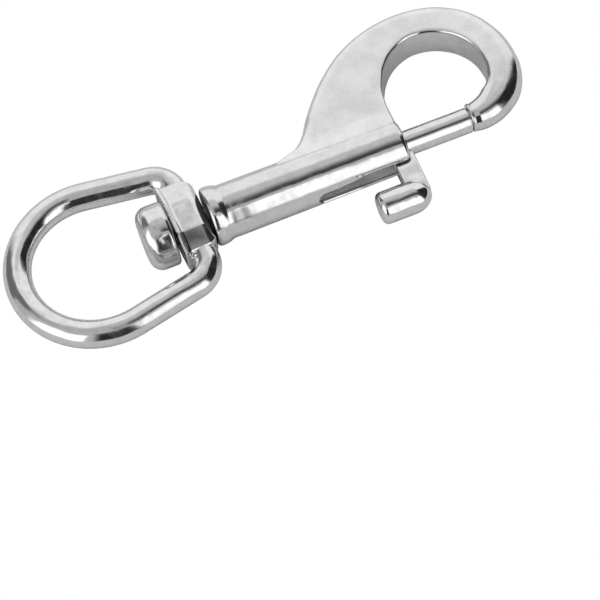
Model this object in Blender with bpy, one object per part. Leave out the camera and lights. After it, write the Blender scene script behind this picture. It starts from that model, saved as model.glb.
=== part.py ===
"""Swivel-eye bolt snap in stainless steel, modelled closed and lying flat.

+X runs along the barrel towards the nose of the hook, +Y points to the side the hook
opens into, +Z is up. The barrel's axis is drawn at y = z = 0; at the end everything hangs
from one empty that puts the origin at the bottom centre of the whole object.
"""

import math

import bmesh
import bpy
from mathutils import Vector

MM = 0.001
CLEAR = 0.3  # running clearance, and the gap between pieces that seat on each other

# Barrel, from the swivel shoulder at its rear to the mouth where the bolt comes out
SHOULDER_X = 2.0
BARREL_LENGTH = 44.3
BARREL_REAR_DIAMETER = 11.8
BARREL_MOUTH_DIAMETER = 11.3  # the casting draws in slightly towards the mouth
BEAD_DIAMETER = 13.0
BEAD_WIDTH = 3.8
MOUTH_EDGE = 0.9
SLOT_WIDTH = 3.8
SLOT_LENGTH = 21.5  # from the mouth back to the round end of the slot

# Bolt and its thumb lever
BOLT_DIAMETER = 5.5
BOLT_TAIL = 9.4  # length of the bolt inside the barrel when the snap is closed
GATE_GAP = 15.1  # from the mouth to the rim of the nose
SOCKET_DEPTH = 1.5
SPIGOT_DIAMETER = 4.4  # the bolt's tip, which enters the nose
BOLT_EDGE = 0.35
TAB_LENGTH = 4.9
TAB_OVERHANG = 0.9  # how far the tab stands out in front of the mouth
TAB_THICKNESS = 3.1
TENON_DIAMETER = 3.0
KNOB_DIAMETER = 7.1
KNOB_LENGTH = 11.7
KNOB_OFFSET = 12.9  # knob axis below the bolt axis
KNOB_EDGE = 0.9
KNOB_DOME = 4.6  # length of the rounded front end

# Hook
OPENING_RADIUS = 11.6
ARCH_WIDTH = 7.4
ARCH_HEIGHT = 10.8  # centre of the opening above the barrel's axis
HOOK_THICKNESS = 8.2
NOSE_DIAMETER = 6.2
NOSE_RISE = 0.25  # the nose sits this much above the bolt's axis
RIM_DIAMETER = 6.4
RIM_WIDTH = 0.8
OUTER_ROUND = 2.4
INNER_ROUND = 0.8
WALL_SETBACK = 0.3  # the wall of the opening stands this far behind the mouth
FIN_LENGTH = 29.0  # along the barrel, from the wall of the opening to the fin's foot
ROOT_FILLET = 5.0

# Swivel post, spring and eye
POST_DIAMETER = 6.0
POST_DEPTH = 6.5  # how deep the post sits in the barrel
HEAD_DIAMETER = 14.0
HEAD_THICKNESS = 6.3
HEAD_ROUND = 2.8
HUB_LENGTH = 6.8
HUB_PLAY = 1.3  # gap between the hub and the barrel's shoulder
HEAD_GAP = 0.4
HUB_HALF_HEIGHT = 7.9
HUB_HALF_THICKNESS = 4.6
HUB_FACE_HALF = 3.6
HUB_END_HALF = 3.0
HUB_LIP = 0.75
HUB_LIP_WIDTH = 0.8
EYE_WIRE = 6.0
EYE_RADIUS = 16.8  # centre line of the wire
EYE_REACH = 25.4  # from the shoulder to the centre of the round end
ARM_ANGLE = 10.5  # each arm closes in on the hub by this many degrees
ARM_BEND = 5.0
SPRING_WIRE = 0.55
SPRING_DIAMETER = 5.2
SPRING_TURNS = 11

MOUTH_X = SHOULDER_X + BARREL_LENGTH
WALL_X = MOUTH_X - WALL_SETBACK
NOSE_X = MOUTH_X + GATE_GAP
ARCH_X = WALL_X + OPENING_RADIUS
BORE_RADIUS = BOLT_DIAMETER / 2 + CLEAR
TIP_X = NOSE_X + SOCKET_DEPTH - CLEAR
TAIL_X = MOUTH_X - BOLT_TAIL
TAB_X = MOUTH_X + TAB_OVERHANG - TAB_LENGTH / 2
POST_X = SHOULDER_X + POST_DEPTH
HUB_X = SHOULDER_X - HUB_PLAY - HUB_LENGTH / 2
HEAD_X = HUB_X - HUB_LENGTH / 2 - HEAD_GAP

SIDES = 48


def clear_scene():
    for thing in list(bpy.data.objects):
        bpy.data.objects.remove(thing, do_unlink=True)


def steel(name, colour, roughness):
    made = bpy.data.materials.new(name)
    made.use_nodes = True
    shader = made.node_tree.nodes["Principled BSDF"]
    shader.inputs["Base Color"].default_value = (*colour, 1.0)
    shader.inputs["Metallic"].default_value = 1.0
    shader.inputs["Roughness"].default_value = roughness
    return made


def add_object(name, bm, material=None, smooth_angle=35.0):
    """Turns a bmesh in millimetres into an object in metres and closes it up."""
    bmesh.ops.remove_doubles(bm, verts=bm.verts, dist=1e-4)
    bmesh.ops.recalc_face_normals(bm, faces=bm.faces)
    bmesh.ops.scale(bm, vec=(MM, MM, MM), verts=bm.verts)
    mesh = bpy.data.meshes.new(name)
    bm.to_mesh(mesh)
    bm.free()
    mesh.shade_smooth()
    mesh.set_sharp_from_angle(angle=math.radians(smooth_angle))
    made = bpy.data.objects.new(name, mesh)
    bpy.context.scene.collection.objects.link(made)
    if material:
        mesh.materials.append(material)
    else:
        made.hide_render = True
        made.display_type = "WIRE"
    return made


def combine(target, tool, operation):
    step = target.modifiers.new(f"{operation.lower()}_{tool.name}", "BOOLEAN")
    step.operation = operation
    step.object = tool
    step.solver = "EXACT"


def corner(centre, radius, start, end, steps=4):
    """Points of an arc, angles in degrees."""
    return [
        (
            centre[0] + radius * math.cos(math.radians(start + (end - start) * i / steps)),
            centre[1] + radius * math.sin(math.radians(start + (end - start) * i / steps)),
        )
        for i in range(steps + 1)
    ]


def turned(name, profile, material=None, sides=SIDES, axis_y=0.0):
    """A body turned about X from (x, radius) points that start and end on the axis."""
    bm = bmesh.new()
    line = [bm.verts.new((x, axis_y + r, 0.0)) for x, r in profile]
    edges = [bm.edges.new(pair) for pair in zip(line, line[1:])]
    bmesh.ops.spin(
        bm,
        geom=line + edges,
        cent=(0.0, axis_y, 0.0),
        axis=(1.0, 0.0, 0.0),
        angle=2 * math.pi,
        steps=sides,
    )
    return add_object(name, bm, material)


def lofted(name, rings, material=None, smooth_angle=35.0):
    """A closed skin through rings of equally many points, capped at both ends."""
    bm = bmesh.new()
    loops = [[bm.verts.new(point) for point in ring] for ring in rings]
    count = len(rings[0])
    for a, b in zip(loops, loops[1:]):
        for i in range(count):
            j = (i + 1) % count
            bm.faces.new((a[i], a[j], b[j], b[i]))
    bm.faces.new(reversed(loops[0]))
    bm.faces.new(loops[-1])
    return add_object(name, bm, material, smooth_angle)


def swept(name, path, radius, sides, material=None):
    """A round wire along a path of 3D points, with its frame carried along."""
    path = [Vector(p) for p in path]
    rings = []
    side = None
    for i, point in enumerate(path):
        ahead = path[min(i + 1, len(path) - 1)]
        behind = path[max(i - 1, 0)]
        along = (ahead - behind).normalized()
        if side is None:
            side = along.orthogonal().normalized()
        side = (side - along * side.dot(along)).normalized()
        up = along.cross(side)
        rings.append(
            [
                point + radius * (math.cos(t) * side + math.sin(t) * up)
                for t in (2 * math.pi * k / sides for k in range(sides))
            ]
        )
    return lofted(name, rings, material)


def box(name, low, high):
    bm = bmesh.new()
    bmesh.ops.create_cube(bm, size=1.0)
    size = Vector(high) - Vector(low)
    bmesh.ops.scale(bm, vec=size, verts=bm.verts)
    bmesh.ops.translate(bm, vec=(Vector(high) + Vector(low)) / 2, verts=bm.verts)
    return add_object(name, bm)


def pillar(name, centre, radius, low, high, material=None, sides=32):
    """A plain round bar along Y."""
    bm = bmesh.new()
    bmesh.ops.create_cone(
        bm,
        cap_ends=True,
        segments=sides,
        radius1=radius,
        radius2=radius,
        depth=high - low,
    )
    bmesh.ops.rotate(
        bm, cent=(0, 0, 0), matrix=Vector((0, 0, 1)).rotation_difference((0, 1, 0)).to_matrix(),
        verts=bm.verts,
    )
    bmesh.ops.translate(bm, vec=(centre[0], (low + high) / 2, centre[1]), verts=bm.verts)
    return add_object(name, bm, material)


def smooth_through(rows, steps):
    """Catmull-Rom curve through rows of numbers, with this many steps in each span."""
    out = []
    last = len(rows) - 1
    for i in range(last):
        p0 = rows[max(i - 1, 0)]
        p1, p2 = rows[i], rows[i + 1]
        p3 = rows[min(i + 2, last)]
        for k in range(steps):
            t = k / steps
            out.append(
                [
                    b
                    + 0.5 * t * (c - a + t * (2 * a - 5 * b + 4 * c - d + t * (3 * (b - c) + d - a)))
                    for a, b, c, d in zip(p0, p1, p2, p3)
                ]
            )
    out.append(list(rows[last]))
    return out


def around(angle, radius):
    """A point of the hook, seen from the centre of its opening."""
    turn = math.radians(angle)
    return ARCH_X + radius * math.cos(turn), ARCH_HEIGHT + radius * math.sin(turn)


def hook_stations():
    """Outer point, inner point, half thickness and the two edge rounds of each section.

    The sections start inside the barrel, climb the fin, go round the arch and end at
    the nose, so the fin, the arch and the nose are one skin.
    """
    half = HOOK_THICKNESS / 2
    inner = OPENING_RADIUS
    outer = OPENING_RADIUS + ARCH_WIDTH
    foot = WALL_X - FIN_LENGTH
    barrel = BARREL_REAR_DIAMETER / 2
    nose = NOSE_DIAMETER / 2
    rows = []
    # The foot of the fin: its rear edge leaves the barrel in a hollow curve
    for along, rise, wall in (
        (-1.0, -4.9, 1.0),
        (0.0, -1.9, 2.6),
        (3.4, -0.35, 4.6),
        (6.6, 0.8, 6.4),
        (9.4, 3.2, 8.6),
    ):
        rows.append((foot + along, barrel + rise, WALL_X, wall, half, OUTER_ROUND, INNER_ROUND))
    # The back of the fin winds in from a wide spiral to the round of the arch
    for angle_out, grow, angle_in in (
        (175.5, 9.6, 174.0),
        (167.0, 7.4, 160.0),
        (154.0, 5.0, 144.0),
        (136.0, 2.8, 126.0),
        (114.0, 1.0, 108.0),
        (90.0, 0.1, 90.0),
        (66.0, 0.0, 68.0),
        (42.0, 0.0, 44.0),
        (18.0, -0.1, 20.0),
    ):
        rows.append(
            (*around(angle_out, outer + grow), *around(angle_in, inner), half, OUTER_ROUND, INNER_ROUND)
        )
    # The tip rounds off and comes down onto the bolt's axis
    full = nose * 0.985
    for angle_out, trim, angle_in, fill, thick, round_out, round_in in (
        (-3.0, -0.4, -5.0, 0.0, half, OUTER_ROUND + 0.3, INNER_ROUND + 0.2),
        (-17.0, -0.6, -19.0, 0.1, half - 0.1, OUTER_ROUND + 0.6, INNER_ROUND + 0.5),
        (-30.0, -1.1, -29.0, 0.6, half - 0.25, OUTER_ROUND + 1.0, INNER_ROUND + 1.2),
        (-42.0, -1.95, -37.0, 1.7, half - 0.5, 3.4, 2.8),
        (-53.0, -3.05, -45.0, 2.9, half - 0.7, full, full),
    ):
        rows.append(
            (*around(angle_out, outer + trim), *around(angle_in, inner - fill), thick, round_out, round_in)
        )
    for out_x, out_y, in_x, in_y, swell in (
        (3.9, 0.07, 1.5, 0.85, 0.15),
        (2.1, -0.02, 0.85, 0.4, 0.05),
        (0.4, 0.0, 0.35, 0.0, 0.0),
    ):
        rows.append(
            (
                NOSE_X + out_x,
                NOSE_RISE - nose + out_y,
                NOSE_X + in_x,
                NOSE_RISE + nose + in_y,
                nose + swell,
                full,
                full,
            )
        )
    return rows


def cheek_height(y, half):
    """Half thickness of the fin at this height: it swells into the barrel in a fillet."""
    barrel = (BARREL_REAR_DIAMETER + BARREL_MOUTH_DIAMETER) / 4
    start = math.sqrt((barrel + ROOT_FILLET) ** 2 - (half + ROOT_FILLET) ** 2)
    end = start * barrel / (barrel + ROOT_FILLET)
    if y >= start:
        return half
    return half + ROOT_FILLET - math.sqrt(ROOT_FILLET**2 - (start - max(y, end)) ** 2)


def make_hook():
    rings = []
    for xo, yo, xi, yi, half, round_out, round_in in smooth_through(hook_stations(), 3):
        width = math.hypot(xo - xi, yo - yi)
        along = ((xo - xi) / width, (yo - yi) / width)
        round_in = min(round_in, width / 2 * 0.985, half * 0.985)
        round_out = min(round_out, width - round_in * 1.02, half * 0.985)
        section = (
            corner((width - round_out, half - round_out), round_out, 0, 90)
            + corner((round_in, half - round_in), round_in, 90, 180)
            + corner((round_in, round_in - half), round_in, 180, 270)
            + corner((width - round_out, round_out - half), round_out, 270, 360)
        )
        ring = []
        for a, z in section:
            x, y = xi + along[0] * a, yi + along[1] * a
            swell = cheek_height(y, half) / half if x < ARCH_X else 1.0
            ring.append((x, y, z * swell))
        rings.append(ring)
    return lofted("hook_form", rings)


def make_body(material):
    rear = BARREL_REAR_DIAMETER / 2
    mouth = BARREL_MOUTH_DIAMETER / 2
    bead = BEAD_DIAMETER / 2 - rear
    profile = [(SHOULDER_X, 0.0)]
    # The bead rolls up quickly at the shoulder and eases down onto the barrel
    profile += [
        (SHOULDER_X + BEAD_WIDTH * along, rear + bead * rise)
        for along, rise in ((0, 0.2), (0.06, 0.7), (0.16, 0.93), (0.3, 1.0), (0.5, 0.92), (0.7, 0.66), (0.86, 0.28))
    ]
    profile += [
        (SHOULDER_X + BEAD_WIDTH, rear - 0.02),
        (SHOULDER_X + BEAD_WIDTH + 1.5, rear),
        (MOUTH_X - MOUTH_EDGE * 2, mouth),
    ]
    profile += [
        (MOUTH_X - MOUTH_EDGE + x, mouth - MOUTH_EDGE + r)
        for x, r in corner((0.0, 0.0), MOUTH_EDGE, 85, 10, 3)
    ]
    profile += [(MOUTH_X, mouth - MOUTH_EDGE), (MOUTH_X, 0.0)]
    body = turned("body", profile, material)
    hook = make_hook()
    rim = RIM_DIAMETER / 2
    collar = turned(
        "nose_rim",
        [(NOSE_X, 0.0)]
        + [(NOSE_X + 0.3 + x, rim - 0.3 + r) for x, r in corner((0.0, 0.0), 0.3, 180, 90, 3)]
        + [(NOSE_X + RIM_WIDTH - 0.3, rim), (NOSE_X + RIM_WIDTH, rim - 0.25), (NOSE_X + 1.6, 0.0)],
        axis_y=NOSE_RISE,
    )
    combine(body, hook, "UNION")
    combine(body, collar, "UNION")

    bore = turned(
        "bore_form",
        [
            (SHOULDER_X - 2, 0.0),
            (SHOULDER_X - 2, POST_DIAMETER / 2 + CLEAR),
            (POST_X + CLEAR, POST_DIAMETER / 2 + CLEAR),
            (POST_X + CLEAR, BORE_RADIUS),
            (NOSE_X - 1.0, BORE_RADIUS),
            (NOSE_X - 1.0, SPIGOT_DIAMETER / 2 + CLEAR),
            (NOSE_X + SOCKET_DEPTH, SPIGOT_DIAMETER / 2 + CLEAR),
            (NOSE_X + SOCKET_DEPTH, 0.0),
        ],
    )
    combine(body, bore, "DIFFERENCE")
    end = MOUTH_X - SLOT_LENGTH + SLOT_WIDTH / 2
    slot = box(
        "slot_form",
        (end, -BARREL_REAR_DIAMETER, -SLOT_WIDTH / 2),
        (MOUTH_X + 1, 0.0, SLOT_WIDTH / 2),
    )
    slot_end = pillar("slot_end_form", (end, 0.0), SLOT_WIDTH / 2, -BARREL_REAR_DIAMETER, 0.0)
    combine(body, slot, "DIFFERENCE")
    combine(body, slot_end, "DIFFERENCE")
    return body


def make_bolt(material):
    radius = BOLT_DIAMETER / 2
    bolt = turned(
        "bolt",
        [
            (TAIL_X, 0.0),
            (TAIL_X, radius - BOLT_EDGE),
            (TAIL_X + BOLT_EDGE, radius),
            (NOSE_X - CLEAR - BOLT_EDGE * 0.5, radius),
            (NOSE_X - CLEAR, radius - BOLT_EDGE * 0.5),
            (NOSE_X - CLEAR, SPIGOT_DIAMETER / 2),
            (TIP_X - BOLT_EDGE, SPIGOT_DIAMETER / 2),
            (TIP_X, SPIGOT_DIAMETER / 2 - BOLT_EDGE),
            (TIP_X, 0.0),
        ],
        material,
        sides=40,
    )
    hole = pillar("tenon_hole_form", (TAB_X, 0.0), TENON_DIAMETER / 2 + CLEAR, -radius - 1, radius + 1)
    combine(bolt, hole, "DIFFERENCE")
    return bolt


def make_lever(material):
    """A round knob on a flat tab, whose tenon passes through the bolt."""
    radius = KNOB_DIAMETER / 2
    front = MOUTH_X + TAB_OVERHANG
    rear = front - KNOB_LENGTH
    profile = [(rear, 0.0)]
    profile += [
        (rear + KNOB_EDGE + x, radius - KNOB_EDGE + r)
        for x, r in corner((0.0, 0.0), KNOB_EDGE, 180, 90, 4)
    ]
    profile += [
        (front - KNOB_DOME + x * KNOB_DOME / radius, r)
        for x, r in corner((0.0, 0.0), radius, 90, 10, 7)
    ]
    profile.append((front, 0.0))
    lever = turned("thumb_lever", profile, material, sides=36, axis_y=-KNOB_OFFSET)
    half = TAB_THICKNESS / 2
    edge = 0.35
    outline = (
        corner((TAB_X + TAB_LENGTH / 2 - edge, half - edge), edge, 0, 90, 2)
        + corner((TAB_X - TAB_LENGTH / 2 + edge, half - edge), edge, 90, 180, 2)
        + corner((TAB_X - TAB_LENGTH / 2 + edge, edge - half), edge, 180, 270, 2)
        + corner((TAB_X + TAB_LENGTH / 2 - edge, edge - half), edge, 270, 360, 2)
    )
    top = -BOLT_DIAMETER / 2 - CLEAR
    tab = lofted("tab_form", [[(x, y, z) for x, z in outline] for y in (-KNOB_OFFSET, top)])
    tenon = pillar(
        "tenon_form", (TAB_X, 0.0), TENON_DIAMETER / 2, top - 1.0, BOLT_DIAMETER / 2 - CLEAR
    )
    combine(lever, tab, "UNION")
    combine(lever, tenon, "UNION")
    return lever


def make_spring(material):
    """A coil that seats on the post at its rear and pushes the bolt's tail at its front."""
    start = POST_X + CLEAR + SPRING_WIRE / 2
    end = TAIL_X - CLEAR - SPRING_WIRE / 2
    radius = (SPRING_DIAMETER - SPRING_WIRE) / 2
    closed = SPRING_WIRE * 1.3
    steps = 14
    total = (SPRING_TURNS + 2) * steps
    path = []
    for i in range(total + 1):
        turn = i / steps
        if turn <= 1:
            x = start + closed * turn
        elif turn >= SPRING_TURNS + 1:
            x = end - closed * (SPRING_TURNS + 2 - turn)
        else:
            x = start + closed + (end - start - 2 * closed) * (turn - 1) / SPRING_TURNS
        angle = 2 * math.pi * turn
        path.append((x, radius * math.cos(angle), radius * math.sin(angle)))
    return swept("spring", path, SPRING_WIRE / 2, 6, material)


def make_post(material):
    radius = POST_DIAMETER / 2
    head = HEAD_DIAMETER / 2
    rear = HEAD_X - HEAD_THICKNESS
    profile = [(rear, 0.0)]
    profile += [
        (rear + HEAD_ROUND + x, head - HEAD_ROUND + r)
        for x, r in corner((0.0, 0.0), HEAD_ROUND, 180, 90, 5)
    ]
    profile += [
        (HEAD_X - 0.9 + x, head - 0.9 + r) for x, r in corner((0.0, 0.0), 0.9, 90, 0, 3)
    ]
    profile += [(HEAD_X, radius), (POST_X - 0.4, radius), (POST_X, radius - 0.4), (POST_X, 0.0)]
    return turned("swivel_post", profile, material)


def hub_outline(grow):
    """The hub's eight-sided section across the axis, as (y, z) points."""
    height = HUB_HALF_HEIGHT + grow
    thick = HUB_HALF_THICKNESS + grow
    face = HUB_FACE_HALF + grow * 0.4
    end = HUB_END_HALF + grow * 0.6
    quarter = [(height, end), (face, thick)]
    mirrored = [(-y, z) for y, z in reversed(quarter)]
    upper = quarter + mirrored
    return upper + [(y, -z) for y, z in reversed(upper)]


def make_eye(material):
    """A bent wire whose two arms run into a hub that turns on the post."""
    centre = SHOULDER_X - EYE_REACH
    lean = math.radians(ARM_ANGLE)
    tangent_x = centre + EYE_RADIUS * math.sin(lean)
    tangent_y = EYE_RADIUS * math.cos(lean)
    line_y = tangent_y - (HUB_X - tangent_x) * math.tan(lean)
    turn = math.pi / 2 - lean
    cut = ARM_BEND * math.tan(turn / 2)
    bend_x, bend_y = HUB_X - ARM_BEND, line_y - cut
    arm = [(HUB_X, HUB_HALF_HEIGHT - 2.0)]
    arm += corner((bend_x, bend_y), ARM_BEND, 0, 90 - ARM_ANGLE, 7)
    arm.append(((arm[-1][0] + tangent_x) / 2, (arm[-1][1] + tangent_y) / 2))
    loop = corner((centre, 0.0), EYE_RADIUS, 90 - ARM_ANGLE, 270 + ARM_ANGLE, 36)
    path = arm + loop + [(x, -y) for x, y in reversed(arm)]
    eye = swept("eye", [(x, y, 0.0) for x, y in path], EYE_WIRE / 2, 20, material)
    half = HUB_LENGTH / 2
    lip = HUB_LIP_WIDTH
    hub = lofted(
        "hub_form",
        [
            [(HUB_X + x, y, z) for y, z in hub_outline(grow)]
            for x, grow in (
                (-half, HUB_LIP - 0.2),
                (0.2 - half, HUB_LIP),
                (lip - half, HUB_LIP),
                (lip - half + 0.35, HUB_LIP * 0.3),
                (lip - half + 0.9, 0.0),
                (half - lip - 0.9, 0.0),
                (half - lip - 0.35, HUB_LIP * 0.3),
                (half - lip, HUB_LIP),
                (half - 0.2, HUB_LIP),
                (half, HUB_LIP - 0.2),
            )
        ],
        smooth_angle=25.0,
    )
    hole = turned(
        "hub_bore_form",
        [
            (HUB_X - half - 1, 0.0),
            (HUB_X - half - 1, POST_DIAMETER / 2 + CLEAR),
            (HUB_X + half + 1, POST_DIAMETER / 2 + CLEAR),
            (HUB_X + half + 1, 0.0),
        ],
    )
    combine(eye, hub, "UNION")
    combine(eye, hole, "DIFFERENCE")
    return eye


def hang(parent, *children):
    for child in children:
        child.parent = parent


def add_empty(name, where=(0.0, 0.0, 0.0)):
    made = bpy.data.objects.new(name, None)
    made.location = where
    bpy.context.scene.collection.objects.link(made)
    return made


def put_origin_under(root, nodes):
    """Moves the root so that the origin lies at the bottom centre of all the nodes."""
    bpy.context.view_layer.update()
    graph = bpy.context.evaluated_depsgraph_get()
    corners = []
    for node in nodes:
        shown = node.evaluated_get(graph)
        mesh = shown.to_mesh()
        corners += [shown.matrix_world @ v.co for v in mesh.vertices]
        shown.to_mesh_clear()
    low = [min(c[i] for c in corners) for i in range(3)]
    high = [max(c[i] for c in corners) for i in range(3)]
    root.location = (-(low[0] + high[0]) / 2, -(low[1] + high[1]) / 2, -low[2])


clear_scene()
cast_steel = steel("cast_steel", (0.72, 0.72, 0.73), 0.28)
polished_steel = steel("polished_steel", (0.76, 0.76, 0.77), 0.14)
spring_steel = steel("spring_steel", (0.55, 0.55, 0.56), 0.3)

body = make_body(cast_steel)
post = make_post(polished_steel)
spring = make_spring(spring_steel)
bolt = make_bolt(polished_steel)
lever = make_lever(polished_steel)
eye = make_eye(polished_steel)

root = add_empty("frame_root")
slide_axis = add_empty("bolt_slide_axis", (MOUTH_X * MM, 0.0, 0.0))
swivel_axis = add_empty("eye_swivel_axis", (HUB_X * MM, 0.0, 0.0))
hang(root, slide_axis, swivel_axis)
for thing in bpy.data.objects:
    if thing.type == "MESH" and thing not in (bolt, lever, eye):
        thing.parent = root
for axis, moving in ((slide_axis, (bolt, lever)), (swivel_axis, (eye,))):
    for thing in moving:
        for vertex in thing.data.vertices:
            vertex.co -= axis.location
        hang(axis, thing)
        for step in thing.modifiers:
            step.object.parent = axis
            for vertex in step.object.data.vertices:
                vertex.co -= axis.location
put_origin_under(root, (body, post, spring, bolt, lever, eye))
print("root at", [round(v / MM, 3) for v in root.location])
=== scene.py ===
"""Stainless swivel-eye bolt snap, closed and lying flat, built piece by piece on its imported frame.

Each section makes one piece in millimetres on the barrel's axis, with +X towards the nose
of the hook, and sets it down where the frame has the part that it stands for.
"""

import math

import bmesh
import bpy
from mathutils import Matrix, Vector


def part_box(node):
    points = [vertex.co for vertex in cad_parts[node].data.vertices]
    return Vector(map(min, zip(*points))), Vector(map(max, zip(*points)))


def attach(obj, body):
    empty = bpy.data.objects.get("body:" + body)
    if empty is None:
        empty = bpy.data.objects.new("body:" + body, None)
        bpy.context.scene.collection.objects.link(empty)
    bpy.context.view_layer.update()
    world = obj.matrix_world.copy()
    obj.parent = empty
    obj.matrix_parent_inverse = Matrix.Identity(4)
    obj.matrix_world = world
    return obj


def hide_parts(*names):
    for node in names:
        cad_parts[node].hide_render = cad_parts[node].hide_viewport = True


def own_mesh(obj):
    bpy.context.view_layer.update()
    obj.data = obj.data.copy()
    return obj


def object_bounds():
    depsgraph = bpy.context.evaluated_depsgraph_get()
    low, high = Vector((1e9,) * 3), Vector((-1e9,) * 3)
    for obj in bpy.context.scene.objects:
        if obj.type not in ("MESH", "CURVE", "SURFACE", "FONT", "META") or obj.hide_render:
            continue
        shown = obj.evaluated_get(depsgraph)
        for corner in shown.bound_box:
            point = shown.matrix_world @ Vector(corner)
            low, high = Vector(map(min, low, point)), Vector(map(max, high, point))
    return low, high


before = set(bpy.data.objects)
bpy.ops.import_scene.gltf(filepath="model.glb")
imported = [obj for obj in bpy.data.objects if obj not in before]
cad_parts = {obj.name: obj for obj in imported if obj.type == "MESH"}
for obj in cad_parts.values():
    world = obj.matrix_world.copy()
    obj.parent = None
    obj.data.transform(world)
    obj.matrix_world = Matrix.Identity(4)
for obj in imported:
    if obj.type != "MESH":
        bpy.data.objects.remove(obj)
frame_box = [list(corner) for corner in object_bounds()]

# --- Hook casting ---------------------------------------------------------------------
# Barrel, fin, hook and nose are one investment casting in stainless steel. The barrel is
# bored from the rear and slotted for the thumb lever, the round edges are buffed bright,
# and the flat cheeks keep the satin skin of the casting.
MM = 0.001
CLEAR = 0.3
SHOULDER_X = 2.0
BARREL_REAR = 5.9
BARREL_MOUTH = 5.65
BEAD_RISE = 0.6
BEAD_WIDTH = 3.8
MOUTH_EDGE = 1.3
TAB_OVERHANG = 0.9
SLOT_FLOOR = -1.75
SLOT_ROOF = 1.65
SLOT_ROOF_FRONT = 2.25  # the slot is wider near the mouth
SLOT_WIDE_LENGTH = 9.5
SLOT_TAPER = 7.0
SLOT_LIP = 5.15  # the floor is flat out to here, then its lip is broken at 45 degrees
SLOT_LIP_RUN = 1.5
SLOT_LIP_LIFT = 0.3
SLOT_LENGTH = 21.5
SOCKET_DEPTH = 1.5
SPIGOT_RADIUS = 2.2
OPENING_RADIUS = 11.6
ARCH_WIDTH = 7.4
ARCH_HEIGHT = 10.8
HOOK_HALF = 4.1
NOSE_RADIUS = 3.1
NOSE_RISE = 0.3
RIM_RADIUS = 3.1
RIM_WIDTH = 0.8
RIM_REAR_EDGE = 0.3
RIM_FRONT_EDGE = 0.25
RIM_ROOT = 1.6
ROUND_SHARE = 0.985  # no edge round takes more of its side than this
SECTION_STEPS = 10
OVERCUT = 2  # cutters run this far past the metal
OUTER_ROUND = 2.4
INNER_ROUND = 0.8
WALL_SETBACK = 0.3
FIN_LENGTH = 29.0
ROOT_RISE = 7.6  # the cheek is flat above this height
ROOT_FOOT = 0.52  # where the hollow meets the barrel, as a share of its radius
POST_RADIUS = 3.0

body_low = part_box("body")[0]
bolt_low, bolt_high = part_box("bolt")
lever_low, lever_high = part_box("thumb_lever")
post_low, post_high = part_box("swivel_post")
bolt_radius = (bolt_high.z - bolt_low.z) / 2 / MM
# The bench frame: its origin lies on the barrel's axis, just behind the shoulder
bench = Vector(
    (body_low.x - SHOULDER_X * MM, (bolt_low.y + bolt_high.y) / 2, (bolt_low.z + bolt_high.z) / 2)
)
mouth_x = (lever_high.x - bench.x) / MM - TAB_OVERHANG
nose_x = (bolt_high.x - bench.x) / MM - SOCKET_DEPTH + CLEAR
post_x = (post_high.x - bench.x) / MM
wall_x = mouth_x - WALL_SETBACK
arch_x = wall_x + OPENING_RADIUS


def corner(centre, radius, start, end, steps=8):
    """Points of an arc in a plane, angles in degrees."""
    turns = [math.radians(start + (end - start) * i / steps) for i in range(steps + 1)]
    return [(centre[0] + radius * math.cos(t), centre[1] + radius * math.sin(t)) for t in turns]


def smooth_through(rows, steps):
    """A smooth curve through rows of numbers, with this many steps in each span."""
    out = []
    last = len(rows) - 1
    for i in range(last):
        before, near, far, after = (rows[min(max(i + k, 0), last)] for k in (-1, 0, 1, 2))
        for k in range(steps):
            t = k / steps
            out.append(
                [
                    b + 0.5 * t * (c - a + t * (2 * a - 5 * b + 4 * c - d + t * (3 * (b - c) + d - a)))
                    for a, b, c, d in zip(before, near, far, after)
                ]
            )
    out.append(list(rows[last]))
    return out


def piece_from(name, bm):
    """Sets a bench mesh down in the frame as an object."""
    bmesh.ops.remove_doubles(bm, verts=bm.verts, dist=1e-4)
    bmesh.ops.recalc_face_normals(bm, faces=bm.faces)
    bmesh.ops.transform(bm, matrix=Matrix.Translation(bench) @ Matrix.Scale(MM, 4), verts=bm.verts)
    mesh = bpy.data.meshes.new(name)
    bm.to_mesh(mesh)
    bm.free()
    made = bpy.data.objects.new(name, mesh)
    bpy.context.scene.collection.objects.link(made)
    return made


def turned(name, profile, sides=128, axis_y=0.0):
    """A body turned about X from (x, radius) points that start and end on the axis."""
    bm = bmesh.new()
    line = [bm.verts.new((x, axis_y + r, 0.0)) for x, r in profile]
    edges = [bm.edges.new(pair) for pair in zip(line, line[1:])]
    bmesh.ops.spin(
        bm, geom=line + edges, cent=(0.0, axis_y, 0.0), axis=(1.0, 0.0, 0.0), angle=2 * math.pi, steps=sides
    )
    return piece_from(name, bm)


def lofted(name, rings):
    """A closed skin through rings of equally many points, capped at both ends."""
    bm = bmesh.new()
    loops = [[bm.verts.new(point) for point in ring] for ring in rings]
    count = len(rings[0])
    for a, b in zip(loops, loops[1:]):
        for i in range(count):
            j = (i + 1) % count
            bm.faces.new((a[i], a[j], b[j], b[i]))
    bm.faces.new(reversed(loops[0]))
    bm.faces.new(loops[-1])
    return piece_from(name, bm)


def milled(name, outline, low, high):
    """A straight bar along Y with this (x, z) outline."""
    return lofted(name, [[(x, y, z) for x, z in outline] for y in (low, high)])


def combine(target, tool, operation):
    """Joins the tool to the target, or cuts it away, and throws the tool out."""
    step = target.modifiers.new("combine", "BOOLEAN")
    step.operation = operation
    step.object = tool
    step.solver = "EXACT"
    graph = bpy.context.evaluated_depsgraph_get()
    joined = bpy.data.meshes.new_from_object(target.evaluated_get(graph))
    target.modifiers.clear()
    target.data = joined
    bpy.data.objects.remove(tool, do_unlink=True)


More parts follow.
